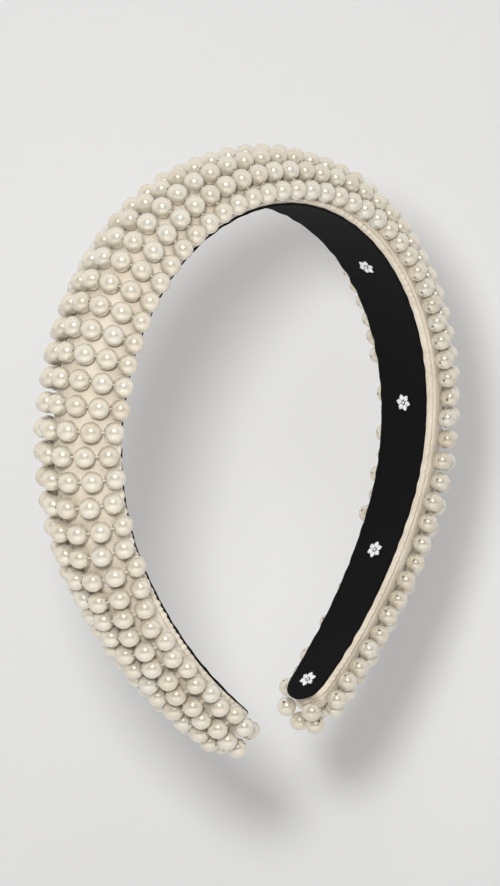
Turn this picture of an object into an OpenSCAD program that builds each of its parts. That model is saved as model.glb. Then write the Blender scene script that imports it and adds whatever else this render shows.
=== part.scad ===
// Padded headband covered in strung pearls.
// X runs from ear to ear, the front faces -Y and +Z is up. The origin is the middle of the
// lining's inner face at the top of the head. The hoop is three arcs on each side, and "s" is
// the distance along the lining from the top, positive on the right and negative on the left.
// "h" is the height above the lining's inner face.

/* [Hoop] */
// Radius of the crown arc, to the lining's inner face
crown_r = 65; // [62:1:70]
// Turn of the crown arc on each side, in degrees
crown_deg = 87; // [84:1:88]
// Radius of the side arc
side_r = 73; // [70:1:80]
// Turn of the side arc, in degrees
side_deg = 31; // [28:1:32]
// Radius of the tip arc
tip_r = 148; // [140:1:160]
// Turn of the tip arc, in degrees
tip_deg = 26.5; // [24:0.5:27]
// Turn from the top to the place where an arm flexes, in degrees
flex_deg = 46; // [42:1:48]
// Gap between the crown and an arm where the band flexes
flex_gap = 0.3; // [0.2:0.1:0.5]

/* [Lining and core] */
// Width of the lining at the top
band_w_top = 22; // [20:0.5:24]
// Width of the lining halfway down an arm
band_w_mid = 18; // [16:0.5:19]
// Width of the lining at the tip
band_w_tip = 13.2; // [12:0.2:14]
// Thickness of the woven lining
lining_t = 0.8; // [0.5:0.1:0.8]
// Thickness of the springy core band
core_t = 1.6; // [1.2:0.1:1.6]
// How far the core's edge sits inside the lining's edge
core_inset = 1.4; // [1.2:0.1:2]
// Distance between the flowers stitched on the lining
flower_pitch = 48; // [40:1:50]

/* [Pad and cover] */
// Thickness of the satin cover
cover_t = 0.4; // [0.3:0.1:0.4]
// Height of the pearl centres at the top of the head
rise_top = 14.8; // [14:0.2:15.4]
// Extra height of the pearl centres down the sides
rise_side = 1.2; // [0:0.2:1.6]
// Drop of the pearl centres towards a tip
rise_tip = 3.3; // [2:0.1:3.6]

/* [Pearls] */
// Diameter of a pearl
pearl_d = 6; // [5.6:0.1:6]
// Distance from pearl to pearl on a thread of seven pearls
pearl_pitch = 6.15; // [6.1:0.05:6.3]
// The same on the threads of six and five pearls
pearl_pitch_low = 6.5; // [6.15:0.05:6.6]
// Distance along the lining from thread to thread on the upper half
rib_pitch = 5.8; // [5.8:0.1:6.2]
// The same on the lower half
rib_pitch_low = 6.2; // [6:0.1:6.4]
// Turn of every other thread's pearls round the pad on the lower half, in degrees
stagger_deg = 3.5; // [0:0.5:3.5]
// Diameter of the hole through a pearl
hole_d = 1.2; // [1:0.1:1.4]
// Diameter of the beading thread
thread_d = 0.5; // [0.4:0.1:0.6]

/* [Hidden] */

// The three arcs: lengths along the lining, and centres as [x, z]
function arc_length(r, deg) = r * deg * PI / 180;
function spoke(deg) = [sin(deg), cos(deg)];
s_crown = arc_length(crown_r, crown_deg);
s_side = s_crown + arc_length(side_r, side_deg);
s_tip = s_side + arc_length(tip_r, tip_deg);
s_flex = arc_length(crown_r, flex_deg);
gap_deg = (flex_gap / 2) / crown_r * 180 / PI;
deg_side = crown_deg + side_deg;
deg_tip = deg_side + tip_deg;
crown_c = [0, -crown_r];
side_c = crown_c + (crown_r - side_r) * spoke(crown_deg);
tip_c = side_c + (side_r - tip_r) * spoke(deg_side);

// Heights of the layers above the lining's inner face, with a glue line between them
glue = 0.1;
hem_h = lining_t + glue;
core_h = hem_h + cover_t + glue;
foam_h = core_h + core_t + glue;
wall_h = foam_h - 1.2;
pearl_r = pearl_d / 2;
pearl_seat = 0.15;
cover_ease = 0.15;

// Where the parts of an arm end
s_ring = s_tip + 0.8;
s_cover_end = s_tip - 2.6;
s_fold = s_cover_end - 1;
s_core_end = s_fold - 0.8;
s_foam_end = s_fold - 5.4;
s_dome = s_fold - 4.4;
dome_len = 10;

// Pearls round a tip, with none on the side that faces the head
ring_n = 4;
ring_step_deg = 72;
ring_r = 5.5;
ring_h = 6;

// Threads of pearls lie across the band. On each side the upper ones carry seven pearls, the
// next ones six and the last ones five.
upper_ribs = 19;
lower_ribs = 15;
seven_ribs = 16;
six_ribs = 8;

// How much further than the lining the pad reaches to each side, at places along s
PAD_EXTRA = [[0, 0], [60, 0.9], [90, 1.3], [110, 0.9], [140, 0.6], [170, 0.15], [204, 0]];

// Tessellation of the swept parts
ring_step = 6.5;
arc_steps = 14;
thread_sides = 6;
pearl_fn = 28;
fine_fn = 180;

// A place on the hoop
function turn(s) =
    s <= s_crown ? s / crown_r * 180 / PI
    : s <= s_side ? crown_deg + (s - s_crown) / side_r * 180 / PI
    : deg_side + (s - s_side) / tip_r * 180 / PI;
function arc_centre(s) = s <= s_crown ? crown_c : s <= s_side ? side_c : tip_c;
function arc_radius(s) = s <= s_crown ? crown_r : s <= s_side ? side_r : tip_r;
function place(s, y, h) =
    let (a = abs(s), p = arc_centre(a) + (arc_radius(a) + h) * spoke(turn(a)))
    [s < 0 ? -p[0] : p[0], y, p[1]];

// Widths and heights along the hoop
function ease(t) = let (u = min(max(t, 0), 1)) u * u * (3 - 2 * u);
function half_w(s) =
    let (u = abs(s) / s_tip)
    (band_w_top * (1 - u) * (1 - 2 * u) + band_w_mid * 4 * u * (1 - u)
        + band_w_tip * u * (2 * u - 1)) / 2;
function cover_r(s) = half_w(s) + cover_ease + lookup(abs(s), PAD_EXTRA);
function pearls_r(s) = cover_r(s) + pearl_seat + pearl_r;
function rise(s) =
    rise_top + rise_side * ease(abs(s) / 50) - rise_tip * ease((abs(s) - 105) / (s_tip - 105));
function mid_h(s) = rise(s) - pearls_r(s);
function tip_scale(s) = abs(s) <= s_dome ? 1 : sqrt(1 - pow((abs(s) - s_dome) / dome_len, 2));

// Stations of a swept part between two places
function stations(s0, s1) =
    let (n = ceil((s1 - s0) / ring_step))
    [for (i = [0:n]) s0 + (s1 - s0) * i / n];

// One ring of the pad's round top, from the wall's foot at height h0 on one side to the other
function top_arc(s, inset, h0) =
    let (r = cover_r(s) * tip_scale(s) - inset, c = mid_h(s), a = acos((h0 - c) / r))
    [for (i = [0:arc_steps]) let (t = a * (2 * i / arc_steps - 1)) place(s, r * sin(t), c + r * cos(t))];

// One ring of the satin cover: an open C whose two hems turn in under the core
function cover_ring(s) =
    let (
        hem = half_w(s) * tip_scale(s) * 0.5,
        foot = (cover_r(s) - cover_ease) * tip_scale(s) - 0.5
    )
    concat(
        [place(s, -hem, hem_h), place(s, -foot, hem_h)],
        top_arc(s, 0, wall_h),
        [place(s, foot, hem_h), place(s, hem, hem_h)],
        [place(s, hem, hem_h + cover_t), place(s, foot - cover_t, hem_h + cover_t)],
        [for (i = [arc_steps:-1:0]) top_arc(s, cover_t, wall_h)[i]],
        [place(s, cover_t - foot, hem_h + cover_t), place(s, -hem, hem_h + cover_t)]
    );

function foam_ring(s) = top_arc(s, cover_t + glue, foam_h);

// Triangles of an end face: a ladder between the two halves of a ring of n points
function ladder(n) = [
    for (k = [0:ceil(n / 2) - 2])
        each [[k, k + 1, n - 1 - k], if (k + 1 < n - 2 - k) [k + 1, n - 2 - k, n - 1 - k]]
];

// Joins rings of equally many points into one closed solid
module skin(rings) {
    n = len(rings[0]);
    last = len(rings) - 1;
    sides = [for (i = [0:last - 1], j = [0:n - 1])
        let (a = i * n + j, b = i * n + (j + 1) % n)
        each [[a, a + n, b], [b, a + n, b + n]]];
    polyhedron(
        points = [for (ring = rings) each ring],
        faces = concat(
            ladder(n),
            sides,
            [for (f = ladder(n)) [f[2], f[1], f[0]] + last * n * [1, 1, 1]]
        )
    );
}

// A part of a flat band between two turns of one arc
module arc_slab(centre, r, deg0, deg1, h0, t, w) {
    translate([centre[0], 0, centre[1]])
        rotate([90, 0, 0])
            rotate([0, 0, 90 - deg1])
                rotate_extrude(angle = deg1 - deg0, $fn = fine_fn)
                    translate([r + h0, -w / 2])
                        square([t, w]);
}

// Plan outline of a band, seen along X, with its edges moved in by inset
module band_outline(s0, s1, inset) {
    steps = stations(s0, s1);
    edge = concat(
        [[half_w(s0) - inset, 20]],
        [for (s = steps) [half_w(s) - inset, place(s, 0, 0)[2]]],
        [[half_w(s1) - inset, -crown_r - tip_r]]
    );
    back = [for (i = [len(edge) - 1:-1:0]) [-edge[i][0], edge[i][1]]];
    rotate([90, 0, 90])
        linear_extrude(4 * crown_r, center = true)
            polygon(concat(edge, back));
}

// Everything above the rounded end of a band on the right arm
module tip_outline(inset, end) {
    w = half_w(s_tip) - inset;
    reach = 3 * crown_r;
    translate(place(end - w, 0, 0))
        rotate([0, turn(end - w), 0])
            linear_extrude(2 * reach, center = true)
                union() {
                    circle(r = w, $fn = fine_fn);
                    translate([-reach, -reach / 2])
                        square([reach, reach]);
                }
}

module band_crown(h0, t, inset) {
    intersection() {
        arc_slab(crown_c, crown_r, gap_deg - flex_deg, flex_deg - gap_deg, h0, t, 2 * band_w_top);
        band_outline(0, s_flex, inset);
    }
}

module band_right(h0, t, inset, end) {
    intersection() {
        union() {
            arc_slab(crown_c, crown_r, flex_deg + gap_deg, crown_deg, h0, t, 2 * band_w_top);
            arc_slab(side_c, side_r, crown_deg, deg_side, h0, t, 2 * band_w_top);
            arc_slab(tip_c, tip_r, deg_side, deg_tip, h0, t, 2 * band_w_top);
        }
        band_outline(s_flex, s_tip, inset);
        tip_outline(inset, end);
    }
}

// Ribs are the threads of pearls, counted from the top on each side. Row 1 is at the front
// edge, row 4 in the middle and row 7 at the back edge.
function rib_s(k) =
    k < upper_ribs ? rib_pitch * (k + 0.5)
    : rib_pitch * (upper_ribs - 0.5) + rib_pitch_low * (k - upper_ribs + 1);
function rib_rows(k) =
    k < seven_ribs ? [1, 2, 3, 4, 5, 6, 7]
    : k < seven_ribs + six_ribs ? [1, 2, 3, 5, 6, 7]
    : [1, 2, 4, 6, 7];
function rib_shift(k) = k < seven_ribs ? 0 : k % 2 == 0 ? -stagger_deg : stagger_deg;
function pearl_step(k) =
    let (pitch = k < seven_ribs ? pearl_pitch : pearl_pitch_low)
    2 * asin(pitch / 2 / pearls_r(rib_s(k)));
function pearl_deg(row, k) =
    let (rows = rib_rows(k), i = search(row, rows)[0])
    (i - (len(rows) - 1) / 2) * pearl_step(k) + rib_shift(k);

// Ribs on the right half of the crown and on the right arm that have a pearl in a row
function has_row(k, row) = len([for (r = rib_rows(k)) if (r == row) r]) > 0;
crown_ribs = [for (k = [0:upper_ribs - 1]) if (rib_s(k) <= s_flex) k];
arm_ribs = [for (k = [0:upper_ribs + lower_ribs - 1]) if (rib_s(k) > s_flex) k];

// A pearl's centre and the direction of its hole, which runs round the pad
function on_round(s, deg) =
    let (r = pearls_r(s))
    place(s, r * sin(deg), mid_h(s) + r * cos(deg));
function centre(row, k) = on_round(rib_s(k), pearl_deg(row, k));
function heading(row, k) =
    let (d = on_round(rib_s(k), pearl_deg(row, k) + 1) - on_round(rib_s(k), pearl_deg(row, k) - 1))
    d / norm(d);

module pearl(at, along) {
    translate(at)
        rotate([0, acos(along[2] / norm(along)), atan2(along[1], along[0])])
            difference() {
                sphere(d = pearl_d, $fn = pearl_fn);
                cylinder(d = hole_d, h = pearl_d + 1, center = true, $fn = pearl_fn);
            }
}

module row_of(row, ribs) {
    for (k = ribs)
        if (has_row(k, row))
            pearl(centre(row, k), heading(row, k));
}

// A thin round thread across the band, straight inside each pearl's hole
function thread_ring(p, along, side) =
    let (d = along / norm(along), b = cross(d, side))
    [for (i = [0:thread_sides - 1])
        let (t = 360 * i / thread_sides)
        p + thread_d / 2 * (cos(t) * side + sin(t) * b)];

module thread(k) {
    straight = 0.8 * pearl_r;
    hoop_way = [cos(turn(rib_s(k))), 0, -sin(turn(rib_s(k)))];
    pts = [for (row = rib_rows(k), end = [-1, 1]) centre(row, k) + end * straight * heading(row, k)];
    last = len(pts) - 1;
    skin([for (i = [0:last])
        thread_ring(pts[i], pts[min(i + 1, last)] - pts[max(i - 1, 0)], hoop_way)]);
}

module threads(ribs) {
    for (k = ribs)
        thread(k);
}

// A small stitched flower on the lining's inner face: petals round a centre stitch
petals = 6;
petal_d = 1.5;
petal_ring = 2;
stitch_t = 0.25;
flower_lift = 0.04;
function flower_places() = [for (k = [-4:4]) k * flower_pitch + 7];

module flower(s) {
    translate(place(s, 0, -flower_lift))
        rotate([0, s < 0 ? -turn(-s) : turn(s), 0])
            translate([0, 0, -stitch_t]) {
                cylinder(d = petal_d, h = stitch_t, $fn = 24);
                for (i = [0:petals - 1])
                    rotate([0, 0, 360 / petals * i])
                        translate([petal_ring, 0, 0])
                            cylinder(d = petal_d, h = stitch_t, $fn = 24);
            }
}

module flowers(s0, s1) {
    for (s = flower_places())
        if (s > s0 && s < s1)
            flower(s);
}

module tip_ring() {
    out = spoke(turn(s_ring));
    for (i = [0:ring_n - 1]) {
        a = ring_step_deg * (i - (ring_n - 1) / 2);
        pearl(
            place(s_ring, ring_r * sin(a), ring_h + ring_r * cos(a)),
            [-sin(a) * out[0], cos(a), -sin(a) * out[1]]
        );
    }
}

// The folded end of the satin, which closes the cover at a tip
module tip_fold() {
    r = 3.4;
    t = 0.8;
    translate(place(s_fold, 0, foam_h + 1.4))
        rotate([0, turn(s_fold) + 90, 0])
            cylinder(r = r, h = t, center = false, $fn = 48);
}

module left_side() {
    mirror([1, 0, 0])
        children();
}

module both_sides() {
    children();
    left_side()
        children();
}

ivory = [0.94, 0.91, 0.82];
satin = [0.93, 0.86, 0.74];
foam_white = [0.96, 0.96, 0.93];
lining_black = [0.04, 0.04, 0.045];
core_grey = [0.75, 0.75, 0.72];
stitch_white = [0.95, 0.95, 0.95];

module core_band_crown() { color(core_grey) band_crown(core_h, core_t, core_inset); }
module core_arm() { band_right(core_h, core_t, core_inset, s_core_end); }
module core_band_right() { color(core_grey) core_arm(); }
module core_band_left() { color(core_grey) left_side() core_arm(); }

module foam_arm() {
    skin([for (s = stations(s_flex + flex_gap / 2, s_foam_end)) foam_ring(s)]);
}
module foam_pad_crown() {
    reach = s_flex - flex_gap / 2;
    color(foam_white) skin([for (s = stations(-reach, reach)) foam_ring(s)]);
}
module foam_pad_right() { color(foam_white) foam_arm(); }
module foam_pad_left() { color(foam_white) left_side() foam_arm(); }

module cover_arm() {
    skin([for (s = stations(s_flex + flex_gap / 2, s_cover_end)) cover_ring(s)]);
}
module satin_cover_crown() {
    reach = s_flex - flex_gap / 2;
    color(satin) skin([for (s = stations(-reach, reach)) cover_ring(s)]);
}
module satin_cover_right() { color(satin) cover_arm(); }
module satin_cover_left() { color(satin) left_side() cover_arm(); }

module lining_ribbon_crown() { color(lining_black) band_crown(0, lining_t, 0); }
module lining_arm() { band_right(0, lining_t, 0, s_tip); }
module lining_ribbon_right() { color(lining_black) lining_arm(); }
module lining_ribbon_left() { color(lining_black) left_side() lining_arm(); }

module lining_flowers_crown() { color(stitch_white) flowers(-s_flex, s_flex); }
module lining_flowers_right() { color(stitch_white) flowers(s_flex, s_tip); }
module lining_flowers_left() { color(stitch_white) flowers(-s_tip, -s_flex); }

module pearl_row_crown(row) { color(ivory) both_sides() row_of(row, crown_ribs); }
module pearl_row_right(row) { color(ivory) row_of(row, arm_ribs); }
module pearl_row_left(row) { color(ivory) left_side() row_of(row, arm_ribs); }

module pearl_tip_ring_right() { color(ivory) tip_ring(); }
module pearl_tip_ring_left() { color(ivory) left_side() tip_ring(); }

module beading_threads_crown() { color(stitch_white) both_sides() threads(crown_ribs); }
module beading_threads_right() { color(stitch_white) threads(arm_ribs); }
module beading_threads_left() { color(stitch_white) left_side() threads(arm_ribs); }

module satin_tip_fold_right() { color(satin) tip_fold(); }
module satin_tip_fold_left() { color(satin) left_side() tip_fold(); }

core_band_crown();
core_band_left();
core_band_right();
foam_pad_crown();
foam_pad_left();
foam_pad_right();
satin_cover_crown();
satin_cover_left();
satin_cover_right();
lining_ribbon_crown();
lining_ribbon_left();
lining_ribbon_right();
lining_flowers_crown();
lining_flowers_left();
lining_flowers_right();
for (row = [1:7]) {
    pearl_row_crown(row);
    pearl_row_left(row);
    pearl_row_right(row);
}
pearl_tip_ring_left();
pearl_tip_ring_right();
beading_threads_crown();
beading_threads_left();
beading_threads_right();
satin_tip_fold_left();
satin_tip_fold_right();
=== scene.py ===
"""Looks for a padded headband covered in strung pearls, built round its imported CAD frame.

The hoop is described as in the CAD source: s runs along the lining from the top of the head to
a tip, y runs across the band with the front at -y, and h is the height above the lining's inner
face. Lengths are in mm until a mesh is made. Every piece is made on the right side, and the
left one is its mirror image.
"""

import math

import bpy
import numpy as np
from mathutils import Matrix, Vector


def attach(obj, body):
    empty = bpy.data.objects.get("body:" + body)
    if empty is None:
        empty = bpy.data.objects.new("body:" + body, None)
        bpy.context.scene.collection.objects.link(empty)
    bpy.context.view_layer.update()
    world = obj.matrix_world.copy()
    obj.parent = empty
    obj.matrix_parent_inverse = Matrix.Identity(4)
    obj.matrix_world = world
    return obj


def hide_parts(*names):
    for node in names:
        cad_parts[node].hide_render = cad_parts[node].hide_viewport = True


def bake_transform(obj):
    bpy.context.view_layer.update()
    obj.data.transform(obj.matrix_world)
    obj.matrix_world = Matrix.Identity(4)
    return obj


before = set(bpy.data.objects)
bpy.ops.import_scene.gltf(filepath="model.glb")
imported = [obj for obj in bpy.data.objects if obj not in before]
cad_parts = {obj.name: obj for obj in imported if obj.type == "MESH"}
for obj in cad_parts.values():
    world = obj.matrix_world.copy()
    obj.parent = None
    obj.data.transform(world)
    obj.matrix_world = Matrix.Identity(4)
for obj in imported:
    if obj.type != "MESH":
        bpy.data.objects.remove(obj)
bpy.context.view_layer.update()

MM = 0.001
SIDES = ("left", "right")

# ---------------------------------------------------------------- the hoop

# Radius and turn in degrees of the three arcs of the lining's inner face
ARCS = ((65.0, 87.0), (73.0, 31.0), (148.0, 26.5))
BAND_WIDTHS = (22.0, 18.0, 13.2)  # lining at the top, halfway down an arm and at the tip
LINING_T = 0.8
CORE_H, CORE_T, CORE_INSET = 1.4, 1.6, 1.4
FOAM_H = 3.1
COVER_H, COVER_T, COVER_EASE = 0.9, 0.4, 0.15
PAD_EXTRA = ((0, 60, 90, 110, 140, 170, 204), (0, 0.9, 1.3, 0.9, 0.6, 0.15, 0))
RISE_TOP, RISE_SIDE, RISE_TIP = 14.8, 1.2, 3.3  # height of the pearl centres, and its changes
PEARL_R, PEARL_SEAT = 3.0, 0.15
HOLE_R, THREAD_R = 0.46, 0.32


def arc_starts():
    """Where each arc starts: s, turn in radians, and centre as (x, z)."""
    s, turn, centre, rows = 0.0, 0.0, np.array([0.0, -ARCS[0][0]]), []
    for i, (radius, deg) in enumerate(ARCS):
        if i:
            spoke = np.array([math.sin(turn), math.cos(turn)])
            centre = centre + (ARCS[i - 1][0] - radius) * spoke
        rows.append((s, turn, centre))
        s += radius * math.radians(deg)
        turn += math.radians(deg)
    return rows, s


STARTS, S_TIP = arc_starts()
ARC_S = np.array([r[0] for r in STARTS])
ARC_TURN = np.array([r[1] for r in STARTS])
ARC_CENTRE = np.array([r[2] for r in STARTS])
ARC_R = np.array([a[0] for a in ARCS])

# Where the parts of an arm end
S_COVER = S_TIP - 2.6
S_FOLD = S_COVER - 1.0
S_CORE = S_FOLD - 0.8
S_FOAM = S_FOLD - 5.4


def arc_and_turn(s):
    k = np.clip(np.searchsorted(ARC_S, s, side="right") - 1, 0, len(ARCS) - 1)
    return k, ARC_TURN[k] + (s - ARC_S[k]) / ARC_R[k]


def place(s, y, h):
    """Points on the right side of the hoop."""
    s, y, h = np.broadcast_arrays(*(np.asarray(v, float) for v in (s, y, h)))
    k, turn = arc_and_turn(s)
    reach = ARC_R[k] + h
    x = ARC_CENTRE[k, 0] + reach * np.sin(turn)
    return np.stack([x, y, ARC_CENTRE[k, 1] + reach * np.cos(turn)], -1)


def outward(s):
    """Unit vectors along h."""
    turn = arc_and_turn(np.asarray(s, float))[1]
    return np.stack([np.sin(turn), np.zeros_like(turn), np.cos(turn)], -1)


def ease(t):
    u = np.clip(t, 0.0, 1.0)
    return u * u * (3 - 2 * u)


def half_w(s):
    u = np.abs(s) / S_TIP
    top, mid, tip = BAND_WIDTHS
    return (top * (1 - u) * (1 - 2 * u) + mid * 4 * u * (1 - u) + tip * u * (2 * u - 1)) / 2


def pad_w(s):
    """Half width of the pad's foot, which reaches past the lining halfway down."""
    return half_w(s) + np.interp(np.abs(s), *PAD_EXTRA)


def cover_r(s):
    return pad_w(s) + COVER_EASE


def pearls_r(s):
    return cover_r(s) + PEARL_SEAT + PEARL_R


def mid_h(s):
    """Height of the middle of the pad's round section."""
    side, tip = ease(s / 50), ease((s - 105) / (S_TIP - 105))
    return RISE_TOP + RISE_SIDE * side - RISE_TIP * tip - pearls_r(s)


def waves(s, seed, scale):
    """Smooth repeatable unevenness between about -1 and 1, at a wavelength near scale."""
    rng = np.random.default_rng(seed)
    total = np.zeros_like(np.asarray(s, float))
    for _ in range(5):
        length = scale * rng.uniform(0.6, 1.7)
        total = total + np.sin(2 * math.pi * (s / length + rng.uniform())) * rng.uniform(0.5, 1)
    return total / 2.4


# ---------------------------------------------------------------- meshes


def new_object(name, points, faces, material, slot, uv=None, tint=None):
    """A smooth-shaded mesh piece. uv is one (u, v) per vertex, tint one number per vertex."""
    mesh = bpy.data.meshes.new(name)
    mesh.from_pydata((np.asarray(points) * MM).tolist(), [], [list(f) for f in faces])
    mesh.polygons.foreach_set("use_smooth", np.ones(len(mesh.polygons), bool))
    if uv is not None:
        corners = np.zeros(len(mesh.loops), np.int32)
        mesh.loops.foreach_get("vertex_index", corners)
        layer = mesh.uv_layers.new(name="weave")
        layer.data.foreach_set("uv", np.asarray(uv, np.float32)[corners].ravel())
    if tint is not None:
        layer = mesh.attributes.new("tint", "FLOAT", "POINT")
        layer.data.foreach_set("value", np.asarray(tint, np.float32))
    mesh.validate()
    mesh.update()
    mesh.materials.append(material)
    o = bpy.data.objects.new(name, mesh)
    bpy.context.scene.collection.objects.link(o)
    return o


def mirrored(points, faces, side):
    if side == "right":
        return points, faces
    return points * np.array([-1.0, 1.0, 1.0]), [tuple(reversed(f)) for f in faces]


def grid_faces(rings, n, closed=True):
    """Quads between rings of n points each, stored ring after ring."""
    faces = []
    for i in range(rings - 1):
        for j in range(n if closed else n - 1):
            a, b = i * n + j, i * n + (j + 1) % n
            faces.append((a, b, b + n, a + n))
    return faces


def end_faces(rings, n):
    last = (rings - 1) * n
    return [tuple(reversed(range(n))), tuple(last + j for j in range(n))]


def tube(points, radius, sides=8, squash=1.0, up=(0.0, 1.0, 0.0)):
    """A round rod along points, with a radius per point. squash flattens it along up."""
    points = np.asarray(points, float)
    radius = np.broadcast_to(radius, len(points))
    along = np.gradient(points, axis=0)
    along /= np.linalg.norm(along, axis=1)[:, None]
    across = np.cross(along, up)
    across /= np.linalg.norm(across, axis=1)[:, None]
    over = np.cross(across, along)
    t = np.linspace(0, 2 * math.pi, sides, endpoint=False)
    ring = across[:, None] * np.cos(t)[None, :, None] + over[:, None] * (
        squash * np.sin(t)[None, :, None]
    )
    verts = points[:, None] + radius[:, None, None] * ring
    faces = grid_faces(len(points), sides) + end_faces(len(points), sides)
    return verts.reshape(-1, 3), faces


def joined(parts):
    """One list of points and faces from several."""
    points, faces, start = [], [], 0
    for p, f in parts:
        points.append(p)
        faces += [tuple(i + start for i in face) for face in f]
        start += len(p)
    return np.concatenate(points), faces


# ---------------------------------------------------------------- materials


class Nodes:
    """Short calls for a material's node tree."""

    def __init__(self, name):
        self.material = bpy.data.materials.new(name)
        self.material.use_nodes = True
        self.tree = self.material.node_tree
        self.shader = self.tree.nodes["Principled BSDF"]

    def add(self, kind, **inputs):
        node = self.tree.nodes.new(kind)
        for key, value in inputs.items():
            node.inputs[key.replace("_", " ")].default_value = value
        return node

    def link(self, source, target):
        self.tree.links.new(source, target)

    def place(self, uv=False, scale=(1, 1, 1)):
        """Object coordinates, in metres, or the woven pieces' own ones, in mm."""
        coords = self.tree.nodes.new("ShaderNodeTexCoord")
        mapping = self.add("ShaderNodeMapping", Scale=scale)
        self.link(coords.outputs["UV" if uv else "Object"], mapping.inputs["Vector"])
        return mapping.outputs["Vector"]

    def noise(self, vector, scale, detail=2.0, roughness=0.5):
        node = self.add("ShaderNodeTexNoise", Scale=scale, Detail=detail, Roughness=roughness)
        self.link(vector, node.inputs["Vector"])
        return node.outputs["Fac"]

    def wave(self, vector, scale, direction, distortion=0.0):
        node = self.add("ShaderNodeTexWave", Scale=scale, Distortion=distortion)
        node.bands_direction = direction
        self.link(vector, node.inputs["Vector"])
        return node.outputs["Fac"]

    def ramp(self, value, stops):
        node = self.tree.nodes.new("ShaderNodeValToRGB")
        ramp = node.color_ramp
        for i, (at, colour) in enumerate(stops):
            stop = ramp.elements[i] if i < 2 else ramp.elements.new(at)
            stop.position, stop.color = at, (*colour, 1)
        self.link(value, node.inputs["Fac"])
        return node.outputs["Color"]

    def math(self, operation, a, b):
        node = self.tree.nodes.new("ShaderNodeMath")
        node.operation = operation
        for i, value in enumerate((a, b)):
            if isinstance(value, (int, float)):
                node.inputs[i].default_value = value
            else:
                self.link(value, node.inputs[i])
        return node.outputs["Value"]

    def mix(self, fac, a, b, blend="MIX"):
        node = self.tree.nodes.new("ShaderNodeMix")
        node.data_type, node.blend_type = "RGBA", blend
        for i, value in ((0, fac), (6, a), (7, b)):
            if isinstance(value, (int, float)):
                node.inputs[i].default_value = value
            elif isinstance(value, tuple):
                node.inputs[i].default_value = (*value, 1)
            else:
                self.link(value, node.inputs[i])
        return node.outputs[2]

    def bump(self, height, strength, distance, under=None):
        node = self.add("ShaderNodeBump", Strength=strength, Distance=distance)
        self.link(height, node.inputs["Height"])
        if under is not None:
            self.link(under, node.inputs["Normal"])
        return node.outputs["Normal"]

    def finish(self, colour=None, normal=None, roughness=None, **sockets):
        for value, socket in (
            (colour, "Base Color"),
            (normal, "Normal"),
            (roughness, "Roughness"),
        ):
            if value is not None:
                self.link(value, self.shader.inputs[socket])
        for key, value in sockets.items():
            self.shader.inputs[key.replace("_", " ")].default_value = value
        return self.material


def pearl_material():
    """Imitation pearl: a warm ivory body under a clear, slightly uneven coat."""
    n = Nodes("pearl")
    where = n.place()
    attribute = n.tree.nodes.new("ShaderNodeAttribute")
    attribute.attribute_name = "tint"
    body = n.ramp(
        attribute.outputs["Fac"],
        [
            (0.0, (0.65, 0.59, 0.48)),
            (0.3, (0.68, 0.63, 0.52)),
            (0.7, (0.71, 0.67, 0.57)),
            (1.0, (0.69, 0.67, 0.59)),
        ],
    )
    cloud = n.noise(where, 320, 3.0)
    swirl = n.ramp(cloud, [(0.3, (0.97, 0.95, 0.93)), (0.7, (1.0, 1.0, 1.0))])
    colour = n.mix(1.0, body, swirl, "MULTIPLY")
    skin = n.bump(n.noise(where, 900, 2.0), 0.06, 0.0004)
    rough = n.math("MULTIPLY_ADD", n.noise(where, 500), 0.12)
    rough.node.inputs[2].default_value = 0.16
    return n.finish(
        colour,
        skin,
        rough,
        IOR=1.53,
        Metallic=0.4,
        Subsurface_Weight=0.5,
        Subsurface_Radius=(1.0, 0.75, 0.5),
        Subsurface_Scale=0.002,
        Coat_Weight=1.0,
        Coat_Roughness=0.03,
        Coat_IOR=1.55,
        Sheen_Weight=0.3,
        Sheen_Roughness=0.35,
    )


def satin_material():
    """Ivory satin: fine close threads, a soft lustre and faint creases."""
    n = Nodes("satin")
    where, cloth = n.place(), n.place(uv=True)
    tone = n.noise(where, 160, 3.0)
    colour = n.ramp(tone, [(0.3, (0.61, 0.53, 0.42)), (0.7, (0.72, 0.65, 0.54))])
    warp = n.wave(cloth, 1.3, "Y", 0.6)
    weft = n.wave(cloth, 0.7, "X", 0.6)
    threads = n.bump(n.math("ADD", warp, n.math("MULTIPLY", weft, 0.5)), 0.12, 0.0001)
    creases = n.bump(n.noise(cloth, 0.6, 4.0, 0.6), 0.35, 0.0006, threads)
    rough = n.math("MULTIPLY_ADD", tone, 0.2)
    rough.node.inputs[2].default_value = 0.34
    return n.finish(
        colour,
        creases,
        rough,
        Sheen_Weight=0.35,
        Sheen_Roughness=0.35,
        Specular_IOR_Level=0.6,
    )


def lining_material():
    """Matt black woven ribbon with ribs across it and a little lint."""
    n = Nodes("lining")
    where, cloth = n.place(), n.place(uv=True)
    warp = n.wave(cloth, 0.75, "Y", 0.8)
    weft = n.wave(cloth, 0.75, "X", 0.8)
    weave = n.math("MULTIPLY", warp, weft)
    grain = n.noise(where, 2600, 2.0, 0.7)
    colour = n.ramp(
        n.math("ADD", n.math("MULTIPLY", weave, 0.5), n.math("MULTIPLY", grain, 0.6)),
        [(0.2, (0.0015, 0.0015, 0.0018)), (0.85, (0.007, 0.007, 0.0075))],
    )
    threads = n.bump(weave, 0.5, 0.00012)
    fuzz = n.bump(grain, 0.35, 0.0002, threads)
    return n.finish(
        colour,
        fuzz,
        n.math("ADD", n.math("MULTIPLY", grain, 0.15), 0.78),
        Specular_IOR_Level=0.1,
        Sheen_Weight=0.02,
        Sheen_Roughness=0.6,
    )


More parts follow.
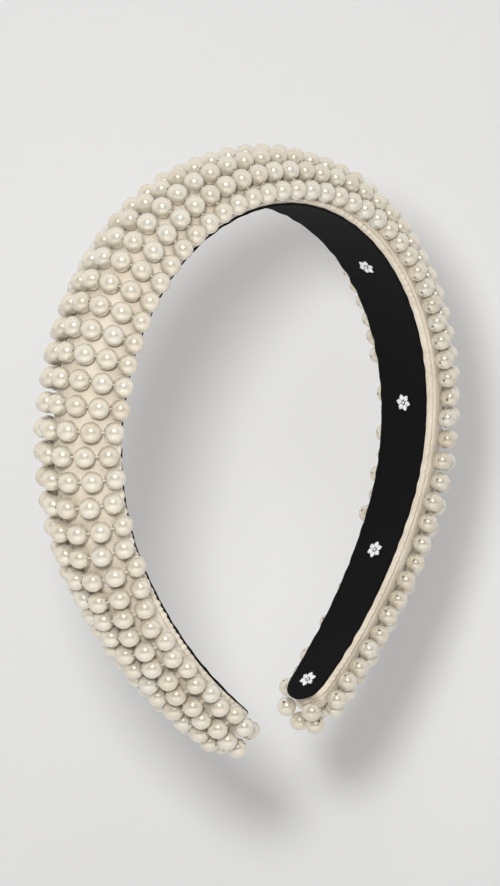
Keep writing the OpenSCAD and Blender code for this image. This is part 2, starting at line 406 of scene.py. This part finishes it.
def stitching_material():
    """White embroidery thread, twisted, with a soft shine."""
    n = Nodes("stitching")
    where = n.place()
    tone = n.noise(where, 1500, 2.0)
    colour = n.ramp(tone, [(0.3, (0.68, 0.68, 0.69)), (0.7, (0.88, 0.88, 0.88))])
    ply = n.bump(n.noise(n.place(scale=(1, 1, 1)), 5200, 1.0), 0.5, 0.0001)
    return n.finish(colour, ply, n.math("ADD", n.math("MULTIPLY", tone, 0.2), 0.4), Sheen_Weight=0.2)


def thread_material():
    """Cream nylon beading thread."""
    n = Nodes("thread")
    tone = n.noise(n.place(), 2400, 2.0)
    colour = n.ramp(tone, [(0.3, (0.50, 0.42, 0.31)), (0.7, (0.62, 0.54, 0.42))])
    ply = n.bump(tone, 0.4, 0.0001)
    return n.finish(colour, ply, n.math("ADD", n.math("MULTIPLY", tone, 0.2), 0.3))


def foam_material():
    """Off-white open foam, with painted shade in its pores."""
    n = Nodes("foam")
    pores = n.add("ShaderNodeTexVoronoi", Scale=1800.0)
    n.link(n.place(), pores.inputs["Vector"])
    # The colour is darker where the pores' pits are deepest: painted shade in the pores.
    colour = n.ramp(pores.outputs["Distance"], [(0.1, (0.72, 0.69, 0.6)), (0.6, (0.88, 0.86, 0.8))])
    skin = n.bump(pores.outputs["Distance"], 0.6, 0.0004)
    rough = n.math("ADD", n.math("MULTIPLY", pores.outputs["Distance"], 0.1), 0.8)
    return n.finish(colour, skin, rough)


def core_material():
    """Pale grey moulded plastic with a fine satin texture."""
    n = Nodes("core")
    tone = n.noise(n.place(), 900, 4.0)
    colour = n.ramp(tone, [(0.3, (0.42, 0.42, 0.4)), (0.7, (0.52, 0.52, 0.5))])
    skin = n.bump(tone, 0.15, 0.0001)
    return n.finish(colour, skin, n.math("ADD", n.math("MULTIPLY", tone, 0.15), 0.4))


PEARL = pearl_material()
SATIN = satin_material()
LINING = lining_material()
STITCHING = stitching_material()
THREAD = thread_material()
FOAM = foam_material()
CORE = core_material()

# ---------------------------------------------------------------- baking placement

BEND_FROM, BEND_TO = math.radians(16), math.radians(72)


def bend(o, side):
    """Works out the ends of the flex point between crown and arm, but only bakes the piece's
    placement into its mesh; nothing bends.
    """
    ends = place(np.array([BEND_FROM, BEND_TO]) * ARCS[0][0], 0.0, 10.0) * MM
    if side == "left":
        ends = ends * np.array([-1.0, 1.0, 1.0])
    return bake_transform(o)


# ---------------------------------------------------------------- pearls

# Threads of pearls lie across the band. On each side the upper ones carry seven pearls, the next
# ones six and the last ones five. Row 1 is at the front edge and row 7 at the back edge.
RIB_PITCH, RIB_PITCH_LOW = 5.8, 6.2
UPPER_RIBS, LOWER_RIBS = 19, 15
SEVEN_RIBS, SIX_RIBS = 16, 8
PEARL_PITCH, PEARL_PITCH_LOW = 6.15, 6.5
STAGGER = math.radians(3.5)
RIBS = range(UPPER_RIBS + LOWER_RIBS)
S_RING = S_TIP + 0.8
RING_N, RING_STEP, RING_R, RING_H = 4, math.radians(72), 5.5, 6.0


def rib_s(k):
    if k < UPPER_RIBS:
        return RIB_PITCH * (k + 0.5)
    return RIB_PITCH * (UPPER_RIBS - 0.5) + RIB_PITCH_LOW * (k - UPPER_RIBS + 1)


def rib_rows(k):
    if k < SEVEN_RIBS:
        return (1, 2, 3, 4, 5, 6, 7)
    return (1, 2, 3, 5, 6, 7) if k < SEVEN_RIBS + SIX_RIBS else (1, 2, 4, 6, 7)


def rib_angles(k):
    """Angle of each pearl of a rib round the pad."""
    n = len(rib_rows(k))
    pitch = PEARL_PITCH if k < SEVEN_RIBS else PEARL_PITCH_LOW
    step = 2 * math.asin(pitch / 2 / pearls_r(rib_s(k)))
    shift = 0.0 if k < SEVEN_RIBS else STAGGER * (1 if k % 2 else -1)
    return (np.arange(n) - (n - 1) / 2) * step + shift


def on_round(s, angle, lift=0.0):
    """A place on the round that the pearls' centres lie on."""
    r = pearls_r(s) + lift
    return place(s, r * np.sin(angle), mid_h(s) + r * np.cos(angle))


def pearl_profile(steps=14):
    """Outline of a drilled pearl as (radius, height) all the way round: skin, lips and bore.

    Close rings near the hole keep the smooth shading even.
    """
    open_at = math.asin((HOLE_R + 0.05) / PEARL_R)
    rim = open_at + np.array([0.0, 0.012, 0.04])
    first = rim[-1] + 0.1
    a = np.concatenate([rim, np.linspace(first, math.pi - first, steps), math.pi - rim[::-1]])
    skin = np.stack([PEARL_R * np.sin(a), PEARL_R * np.cos(a)], -1)
    lip = np.array([[HOLE_R + 0.02, 2.945], [HOLE_R, 2.92], [HOLE_R, 2.8]])
    return np.concatenate([skin, lip * [1, -1], lip[::-1]])


def pearl_template(sides=24):
    profile = pearl_profile()
    t = np.linspace(0, 2 * math.pi, sides, endpoint=False)
    r, z = profile[:, 0], profile[:, 1]
    r, z = (np.broadcast_to(v, (sides, len(v))) for v in (r, z))
    points = np.stack([r * np.cos(t)[:, None], r * np.sin(t)[:, None], z], -1)
    n = len(profile)
    faces = [
        (i * n + j, i * n + (j + 1) % n, (i + 1) % sides * n + (j + 1) % n, (i + 1) % sides * n + j)
        for i in range(sides)
        for j in range(n)
    ]
    return points.reshape(-1, 3), faces


PEARL_POINTS, PEARL_FACES = pearl_template()


def pearl_string(centres, along, rng):
    """Pearls at centres with their holes along the thread, each a little different."""
    parts, tints = [], []
    for c, d in zip(centres, along):
        d = d / np.linalg.norm(d) + rng.normal(0, 0.05, 3)
        d = d / np.linalg.norm(d)
        side = np.cross(d, [0.0, 1.0, 0.0]) if abs(d[1]) < 0.9 else np.cross(d, [1.0, 0.0, 0.0])
        side /= np.linalg.norm(side)
        frame_axes = np.stack([side, np.cross(d, side), d], 0)
        size = np.array([1.0, rng.uniform(0.985, 1.0), 1.0]) * rng.uniform(0.985, 1.008)
        parts.append(((PEARL_POINTS * size) @ frame_axes + c, PEARL_FACES))
        tints.append(np.full(len(PEARL_POINTS), np.clip(rng.normal(0.55, 0.22), 0, 1)))
    points, faces = joined(parts)
    return points, faces, np.concatenate(tints)


def strung_rib(k, rng):
    """Centres and hole directions of one rib's pearls, sewn on a little unevenly."""
    angles = rib_angles(k)
    n = len(angles)
    s = rib_s(k) + rng.normal(0, 0.05, n).clip(-0.09, 0.09)
    lift = rng.uniform(-0.06, 0.1, n)
    along = on_round(s, angles + 0.02) - on_round(s, angles - 0.02)
    return on_round(s, angles, lift), along / np.linalg.norm(along, axis=1)[:, None]


def strung_side(seed):
    """Every rib of one side, as (rows, centres, directions)."""
    rng = np.random.default_rng(seed)
    return [(rib_rows(k), *strung_rib(k, rng)) for k in RIBS]


def ring_centres():
    """Pearls round a tip, with none on the side that faces the head."""
    a = RING_STEP * (np.arange(RING_N) - (RING_N - 1) / 2)
    centres = place(S_RING, RING_R * np.sin(a), RING_H + RING_R * np.cos(a))
    up, slope = outward(S_RING), place(S_RING + 1, 0, 0) - place(S_RING, 0, 0)
    along = np.stack([0 * a, np.cos(a), 0 * a], -1) - np.sin(a)[:, None] * up
    return centres, along + 0.15 * slope


def pearl_piece(name, centres, along, rng, side):
    points, faces, tint = pearl_string(centres, along, rng)
    return new_object(name, *mirrored(points, faces, side), PEARL, "pearl", tint=tint)


def make_pearls(ribs, side, seed):
    """The rows and the tip ring of one side. Returns all the pearls' centres."""
    found = []
    for row in range(1, 8):
        chosen = [(c[rows.index(row)], d[rows.index(row)]) for rows, c, d in ribs if row in rows]
        centres, along = (np.array(v) for v in zip(*chosen))
        rng = np.random.default_rng(seed + row)
        o = pearl_piece(f"pearls_row_{row}_{side}", centres, along, rng, side)
        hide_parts(f"pearl_row_{row}_crown", f"pearl_row_{row}_{side}")
        bend(o, side)
        found.append(centres)
    centres, along = ring_centres()
    rng = np.random.default_rng(seed + 50)
    o = pearl_piece(f"pearls_tip_ring_{side}", centres, along, rng, side)
    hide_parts(f"pearl_tip_ring_{side}")
    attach(o, f"{side}_arm")
    return np.concatenate(found + [centres])


def rib_thread(k, centres, along):
    """A thread that ends inside the outer pearls' holes and is straight in every hole."""
    s = rib_s(k)
    straight = 0.8 * PEARL_R * along
    path = np.stack([centres - straight, centres + straight], 1).reshape(-1, 3)
    hoop_way = place(s + 1, 0, 0) - place(s, 0, 0)
    return tube(path, THREAD_R, 6, up=tuple(hoop_way))


def make_threads(ribs, side):
    parts = [rib_thread(k, centres, along) for k, (_, centres, along) in zip(RIBS, ribs)]
    points, faces = mirrored(*joined(parts), side)
    o = new_object(f"beading_threads_{side}_half", points, faces, THREAD, "thread")
    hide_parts("beading_threads_crown", f"beading_threads_{side}")
    bend(o, side)


# ---------------------------------------------------------------- satin cover

COVER_STATIONS, COVER_TOP_STEPS, HEM_STEPS = 400, 74, 4
TOP_FROM = 3.0  # height at which the round top starts above the rolled edge
CLOTH_PUFF = 2.2  # the most that the cloth rises between the pearls
S_DOME, DOME_LEN = S_FOLD - 4.4, 10.0  # where the section starts to shrink to the tip
S_CLOSE, CLOSE_LEN, CLOSE_STEPS = S_COVER - 2.0, 1.9, 12  # the gathered end
CLOSE_H, PLEATS = 5.2, 17


def cover_sections(s, shrink):
    """The cloth's outer face round the pad at each s, as y and h from hem to hem."""
    s, shrink = s[:, None], shrink[:, None]
    w, r, c = half_w(s) * shrink, cover_r(s) * shrink, mid_h(s)
    flare = pad_w(s) * shrink - w
    gather = 0.5 + 0.5 * waves(s, 11, 3.4)
    gather_back = 0.5 + 0.5 * waves(s, 12, 3.4)
    closed = ease((s - (S_COVER - 13.4)) / 5)
    hem_in = w * (0.5 * (1 - closed) + 0.01 * closed)
    a = np.arccos(np.clip((TOP_FROM - c) / r, -1, 1))
    t = np.linspace(-1, 1, COVER_TOP_STEPS)[None]
    y_top, h_top = r * np.sin(a * t), c + r * np.cos(a * t)

    def edge(g):
        """From the hem's inner edge out round the rolled fold, up to the top."""
        hem = [
            (hem_in + (w - 0.7 - hem_in) * k / HEM_STEPS, COVER_H + 0 * w) for k in range(HEM_STEPS)
        ]
        roll = [
            (w - 0.5, COVER_H + 0 * w),
            (w - 0.2, 0.93 + 0 * w),
            (w + 0.02 + 0.1 * g, 1.05 + 0.04 * g),
            (w + 0.14 + 0.15 * flare + 0.2 * g, 1.3 - 0.05 * g),
            (w + 0.3 + 0.35 * flare + 0.6 * g, 1.6 - 0.35 * g),
            (w + 0.4 + 0.5 * flare + 0.55 * g, 1.95 - 0.3 * g),
            (w + 0.16 + 0.7 * flare + 0.1 * g, 2.15 + 0.1 * g),
            (w - 0.1 + 0.87 * flare + 0.05 * g, 2.45 + 0.05 * g),
            (w - 0.1 + 0.97 * flare + 0.04 * g, 2.72 + 0 * w),
        ]
        y, h = zip(*(hem + roll))
        return np.concatenate([v + 0 * w for v in y], 1), np.concatenate([v + 0 * w for v in h], 1)

    y_back, h_back = edge(gather_back)
    y_front, h_front = edge(gather)
    y = np.concatenate([-y_front, y_top, y_back[:, ::-1]], 1)
    h = np.concatenate([h_front, h_top, h_back[:, ::-1]], 1)
    return y, h


def cloth_rise(points, normals, centres):
    """How far the cloth puffs up between the pearls: high in the gaps, pressed under a pearl."""
    rise = np.full(len(points), CLOTH_PUFF)
    for start in range(0, len(points), 2000):
        p, n = points[start : start + 2000], normals[start : start + 2000]
        d = centres[None] - p[:, None]
        up = (d * n[:, None]).sum(2)
        aside2 = (d * d).sum(2) - up * up
        under = (aside2 < 8.4) & (up > 0)
        room = np.where(under, up - np.sqrt(np.clip(8.6 - aside2, 0.1, None)) - 0.1, 9.0)
        rise[start : start + 2000] = np.minimum(rise[start : start + 2000], room.min(1))
    return np.clip(rise, 0.0, None)


def ring_normals(points):
    """Outward directions on a grid of rings."""
    along = np.gradient(points, axis=0)
    round_it = np.gradient(points, axis=1)
    n = np.cross(round_it, along)
    return n / np.maximum(np.linalg.norm(n, axis=2), 1e-9)[:, :, None]


def cover_grid():
    """The cloth's resting face: s, y and h of its rings, and how far open each one is."""
    u = np.linspace(0, 1, CLOSE_STEPS)[1:]
    body = np.linspace(0.0, S_CLOSE, COVER_STATIONS)
    s = np.concatenate([body, S_CLOSE + CLOSE_LEN * np.sin(u * math.pi / 2)])
    past_dome = (np.maximum(s, S_DOME) - S_DOME) / DOME_LEN
    y, h = cover_sections(s, np.sqrt(np.clip(1 - past_dome**2, 0, 1)))
    wide = np.concatenate([np.ones(len(body)), np.clip(1 - u**1.7, 0.03, 1)])[:, None]
    return s, y * wide, CLOSE_H + (h - CLOSE_H) * wide, wide


def cover_girth(base):
    """Distance round the cloth from its front hem, at each point of each ring."""
    girth = np.cumsum(np.linalg.norm(np.diff(base, axis=1), axis=2), 1)
    return np.concatenate([np.zeros((len(base), 1)), girth], 1)


def cover_faces(rings, n):
    """Faces of the cloth, whose rings have n points on the outer face, then n on the inner."""
    last = (rings - 1) * 2 * n
    top = [(2 * n - 1 - k, 2 * n - 2 - k, k + 1, k) for k in range(n - 1)]
    ends = [tuple(last + j for j in range(n)), tuple(last + n + j for j in range(n))]
    return grid_faces(rings, 2 * n) + top + ends


def make_cover(centres):
    """The satin: an outer face shaped by the pearls, a gathered end, and the cloth's thickness."""
    s, y, h, wide = cover_grid()
    phase = np.linspace(0, 1, y.shape[1])[None]
    pleat = np.sin(phase * 2 * math.pi * PLEATS + 0.8 * np.sin(phase * 31)) * (1 - wide) * wide
    s_grid = s[:, None] + 0.7 * pleat + 0.9 * np.clip(0.35 - wide, 0, 1)
    base = place(s_grid, y, h)
    normals = ring_normals(base)
    inner = base - normals * COVER_T
    tuck = 0.1 * waves(s_grid, 21, 4.0) * waves(phase * 40, 22, 3.0) * ease((h - 3) / 2)
    girth = cover_girth(base)
    uv = np.stack([np.broadcast_to(s[:, None], girth.shape), girth], -1)
    uv = np.concatenate([uv, uv[:, ::-1]], 1).reshape(-1, 2)
    cloth = cover_faces(len(s), y.shape[1])
    for side in SIDES:
        rise = cloth_rise(base.reshape(-1, 3), normals.reshape(-1, 3), centres[side])
        rise = rise.reshape(y.shape) * ease((h - 2.6) / 1.2) * ease((wide - 0.6) / 0.3)
        outer = base + normals * (rise + np.clip(tuck, -0.1, 0.1) * wide)[:, :, None]
        rings = np.concatenate([outer, inner[:, ::-1]], 1)
        points, faces = mirrored(rings.reshape(-1, 3), cloth, side)
        o = new_object(f"satin_cover_{side}_half", points, faces, SATIN, "satin", uv=uv)
        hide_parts("satin_cover_crown", f"satin_cover_{side}", f"satin_tip_fold_{side}")
        bend(o, side)


# ---------------------------------------------------------------- foam, core, lining


def make_foam():
    s = np.linspace(0.0, S_FOAM, 90)[:, None]
    r, c = cover_r(s) - COVER_T - 0.1, mid_h(s)
    a = np.arccos((FOAM_H - c) / r)
    t = np.linspace(-1, 1, 31)[None]
    y, h = r * np.sin(a * t), c + r * np.cos(a * t)
    cells = 0.08 * waves(s * 1.0, 31, 3.0) * waves(t * 20, 32, 3.0) - 0.08
    h = h + cells * (np.abs(t) < 0.95)
    rings = place(s, y, h)
    for side in SIDES:
        faces = grid_faces(len(s), 31) + end_faces(len(s), 31)
        points, faces = mirrored(rings.reshape(-1, 3), faces, side)
        o = new_object(f"foam_pad_{side}_half", points, faces, FOAM, "foam")
        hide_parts("foam_pad_crown", f"foam_pad_{side}")
        bend(o, side)


def strip_widths(s, inset, end):
    """Half width of a band with a rounded end, at each s."""
    w_end = half_w(S_TIP) - inset
    s_round = end - w_end
    w = half_w(s) - inset
    past = np.clip((s - s_round) / w_end, 0, 1)
    rounded = w_end * np.sqrt(np.clip(1 - past**2, 0.0004, 1))
    return np.where(s > s_round, np.minimum(w, rounded), w)


def strip_stations(inset, end, steps):
    """Values of s along a band, closer together round its end."""
    w_end = half_w(S_TIP) - inset
    s_round = end - w_end
    turn = np.linspace(0, math.pi / 2, 22)[1:]
    return np.concatenate([np.linspace(0, s_round, steps), s_round + w_end * np.sin(turn)])


def strip_rings(s, w, h0, thick, edge_r, across):
    """A flat band's rings with rounded edges: across the outer face, then back on the inner."""
    s, w = s[:, None], w[:, None]
    e = np.minimum(edge_r, w * 0.45)
    t = np.linspace(-1, 1, across)[None]
    turn = np.linspace(0, math.pi, 7)[None, 1:-1]
    half = thick / 2
    y = np.concatenate(
        [t * (w - e), w - e + e * np.sin(turn), -t * (w - e), -(w - e + e * np.sin(turn))], 1
    )
    h = np.concatenate(
        [
            0 * t * w + half,
            half * np.cos(turn) + 0 * w,
            0 * t * w - half,
            -half * np.cos(turn) + 0 * w,
        ],
        1,
    )
    return y, h + h0 + half


def make_core():
    s = strip_stations(CORE_INSET, S_CORE, 80)
    y, h = strip_rings(s, strip_widths(s, CORE_INSET, S_CORE), CORE_H, CORE_T, 0.5, 9)
    rings = place(s[:, None], y, h)
    n = y.shape[1]
    for side in SIDES:
        faces = grid_faces(len(s), n) + end_faces(len(s), n)
        points, faces = mirrored(rings.reshape(-1, 3), faces, side)
        o = new_object(f"core_band_{side}_half", points, faces, CORE, "core")
        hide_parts("core_band_crown", f"core_band_{side}")
        bend(o, side)


def make_lining():
    s = strip_stations(0.0, S_TIP, 240)
    w = strip_widths(s, 0.0, S_TIP)
    across = 25
    y, h = strip_rings(s, w, 0.0, LINING_T, 0.3, across)
    n = y.shape[1]
    s_grid = s[:, None]
    settle = np.clip((S_TIP - 8 - s_grid) / 10, 0, 1)
    edge = (np.abs(y) / w[:, None]) ** 4
    y = y + settle * edge * np.sign(y) * (0.3 + 0.16 * waves(s_grid, 41, 5.0))
    h = h + settle * edge * (0.12 * waves(s_grid, 42, 6.0) - 0.24)
    rings = place(s_grid, y, h)
    uv = np.stack([np.broadcast_to(s_grid, y.shape), y], -1).reshape(-1, 2)
    for side in SIDES:
        faces = grid_faces(len(s), n) + end_faces(len(s), n)
        points, faces = mirrored(rings.reshape(-1, 3), faces, side)
        o = new_object(f"lining_ribbon_{side}_half", points, faces, LINING, "lining", uv=uv)
        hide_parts("lining_ribbon_crown", f"lining_ribbon_{side}")
        bend(o, side)


# ---------------------------------------------------------------- stitched flowers

FLOWER_PITCH, FLOWER_SHIFT = 48.0, 7.0
PETALS, PETAL_FROM, PETAL_TO = 6, 0.75, 2.75
STITCH_R = 0.17


def petal_stitches(rng):
    """Satin stitches of one petal lying along +x, as lists of (x, y, lift) points."""
    rows = []
    for k in np.linspace(-1, 1, 5):
        reach = PETAL_TO - 0.5 * k * k + rng.uniform(-0.05, 0.05)
        x = np.linspace(PETAL_FROM, reach, 6)
        t = (x - PETAL_FROM) / (PETAL_TO - PETAL_FROM)
        y = k * (0.14 + 0.5 * np.sin(math.pi * np.clip(t, 0, 1) ** 0.9 * 0.85))
        rows.append(np.stack([x, y, 0.1 * np.sin(math.pi * t.clip(0, 1))], -1))
    return rows


def flower(s, rng):
    """One flower in the lining's inner face at s, petals round a small knot."""
    here, slope = place(s, 0, 0), place(s + 1, 0, 0) - place(s, 0, 0)
    slope /= np.linalg.norm(slope)
    up, across = -outward(s), np.array([0.0, 1.0, 0.0])
    spin = rng.uniform(0, math.pi / 3)
    parts = []

    def laid(path):
        return here + path[:, :1] * slope + path[:, 1:2] * across + (0.06 + path[:, 2:]) * up

    for i in range(PETALS):
        a = spin + 2 * math.pi * i / PETALS
        turn = np.array([[math.cos(a), math.sin(a)], [-math.sin(a), math.cos(a)]])
        for path in petal_stitches(rng):
            path = np.concatenate([path[:, :2] @ turn, path[:, 2:]], 1)
            r = STITCH_R * np.array([0.5, 0.9, 1, 1, 0.9, 0.45])
            parts.append(tube(laid(path), r, 7, up=tuple(up)))
    ring = np.linspace(0, 2 * math.pi, 15)
    knot = np.stack([0.3 * np.cos(ring), 0.3 * np.sin(ring), 0.04 + 0.012 * ring], -1)
    parts.append(tube(laid(knot), 0.17, 7, up=tuple(up)))
    return parts


def make_flowers():
    places = FLOWER_SHIFT + FLOWER_PITCH * np.arange(-4, 5)
    for k, side in enumerate(SIDES):
        rng = np.random.default_rng(500 + k)
        here = places[places > 0] if side == "right" else -places[places < 0]
        points, faces = joined([p for s in sorted(here) for p in flower(s, rng)])
        points, faces = mirrored(points, faces, side)
        o = new_object(f"lining_flowers_{side}_half", points, faces, STITCHING, "stitching")
        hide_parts("lining_flowers_crown", f"lining_flowers_{side}")
        bend(o, side)


# ---------------------------------------------------------------- camera, light, stage

TARGET = Vector((0.0, 0.0, -0.070))
YAW, ELEVATION, ROLL = (math.radians(v) for v in (45.75, 8.40, 1.54))
DISTANCE = 0.740
LENS, SENSOR = 101.2, 36.0
OFF_AXIS = (0.00333, 0.00068)  # the hoop's middle sits a little right of and above the axis


def camera_axes():
    """Right, up and back of the camera."""
    right = Vector((math.cos(YAW), -math.sin(YAW), 0))
    back = Vector(
        (
            -math.sin(YAW) * math.cos(ELEVATION),
            -math.cos(YAW) * math.cos(ELEVATION),
            math.sin(ELEVATION),
        )
    )
    up = back.cross(right)
    roll_right = right * math.cos(ROLL) - up * math.sin(ROLL)
    roll_up = right * math.sin(ROLL) + up * math.cos(ROLL)
    return roll_right, roll_up, back


RIGHT, UP, BACK = camera_axes()


def studio(right, up, back):
    """A point given in metres from the target along the camera's axes."""
    return TARGET + RIGHT * right + UP * up + BACK * back


def facing(location, towards):
    return (towards - location).to_track_quat("-Z", "Y")


def make_camera():
    data = bpy.data.cameras.new("camera")
    data.lens, data.sensor_width = LENS, SENSOR
    o = bpy.data.objects.new("camera", data)
    bpy.context.scene.collection.objects.link(o)
    o.rotation_mode = "QUATERNION"
    o.location = studio(-OFF_AXIS[0], -OFF_AXIS[1], DISTANCE)
    o.rotation_quaternion = Matrix((RIGHT, UP, BACK)).transposed().to_quaternion()
    bpy.context.scene.camera = o


def area_light(name, at, towards, size, power, colour=(1, 1, 1)):
    data = bpy.data.lights.new(name, "AREA")
    data.shape, data.size, data.energy, data.color = "DISK", size, power, colour
    o = bpy.data.objects.new(name, data)
    bpy.context.scene.collection.objects.link(o)
    o.rotation_mode = "QUATERNION"
    o.location = at
    o.rotation_quaternion = facing(at, towards)
    return o


def stage_material(name, colour):
    n = Nodes(name)
    tone = n.noise(n.place(), 12, 2.0)
    paper = n.ramp(tone, [(0.3, tuple(c * 0.995 for c in colour)), (0.7, colour)])
    return n.finish(paper, n.bump(tone, 0.02, 0.001), Specular_IOR_Level=0.0)


def panel(name, corners, material):
    mesh = bpy.data.meshes.new(name)
    mesh.from_pydata([tuple(c) for c in corners], [], [(0, 1, 2, 3)])
    mesh.materials.append(material)
    o = bpy.data.objects.new(name, mesh)
    bpy.context.scene.collection.objects.link(o)
    return o


BOARD_W, BOARD_H, BOARD_BACK = 0.103, 0.175, -0.160  # half sizes, and place behind the hoop
FLOOR_Z, FLOOR_REACH = -0.275, 2.5


def make_stage():
    """A board close behind the hoop takes its soft shadow, and a floor lies below."""
    paper = stage_material("stage_paper", (0.745, 0.745, 0.745))
    corners = ((-1, -1), (1, -1), (1, 1), (-1, 1))
    board = [studio(BOARD_W * x - 0.004, BOARD_H * y, BOARD_BACK) for x, y in corners]
    panel("backdrop_board", board, paper)
    floor = [Vector((FLOOR_REACH * x, FLOOR_REACH * y, FLOOR_Z)) for x, y in corners]
    panel("floor", floor, paper)


DARK_BELOW = math.radians(12)


def make_world():
    """Pale surroundings, darker where the camera stands, behind an even grey backdrop."""
    world = bpy.data.worlds.new("studio")
    bpy.context.scene.world = world
    world.use_nodes = True
    tree = world.node_tree
    way = tree.nodes.new("ShaderNodeTexCoord")
    dot = tree.nodes.new("ShaderNodeVectorMath")
    dot.operation = "DOT_PRODUCT"
    dot.inputs[1].default_value = tuple(BACK * math.cos(DARK_BELOW) - UP * math.sin(DARK_BELOW))
    shade = tree.nodes.new("ShaderNodeValToRGB")
    stops = shade.color_ramp.elements
    stops.new(0.5)
    for stop, (at, value) in zip(stops, ((0.28, 0.83), (0.55, 0.3), (0.8, 0.1))):
        stop.position, stop.color = at, (value, value * 0.98, value * 0.96, 1)
    fill = tree.nodes["Background"]
    seen = tree.nodes.new("ShaderNodeBackground")
    seen.inputs["Color"].default_value = (0.78, 0.78, 0.78, 1)
    ray = tree.nodes.new("ShaderNodeLightPath")
    mix = tree.nodes.new("ShaderNodeMixShader")
    tree.links.new(way.outputs["Generated"], dot.inputs[0])
    tree.links.new(dot.outputs["Value"], shade.inputs["Fac"])
    tree.links.new(shade.outputs["Color"], fill.inputs["Color"])
    tree.links.new(ray.outputs["Is Camera Ray"], mix.inputs[0])
    tree.links.new(fill.outputs[0], mix.inputs[1])
    tree.links.new(seen.outputs[0], mix.inputs[2])
    tree.links.new(mix.outputs[0], tree.nodes["World Output"].inputs["Surface"])


def make_light():
    """A small key for the soft shadow, and a wide softbox above it for the pearls' shine."""
    key = area_light("key", studio(-0.062, 0.082, 0.58), TARGET, 0.085, 2.4)
    key.visible_glossy = False
    area_light("softbox", studio(0.05, 0.36, 0.92), TARGET, 0.56, 2.3)
    scene = bpy.context.scene
    scene.view_settings.view_transform = "Standard"
    scene.view_settings.look = "None"


make_camera()
make_world()
make_light()
make_stage()
pearl_centres = {}
for seed, one_side in ((0, "left"), (100, "right")):
    side_ribs = strung_side(seed)
    pearl_centres[one_side] = make_pearls(side_ribs, one_side, seed)
    make_threads(side_ribs, one_side)
make_cover(pearl_centres)
make_foam()
make_core()
make_lining()
make_flowers()
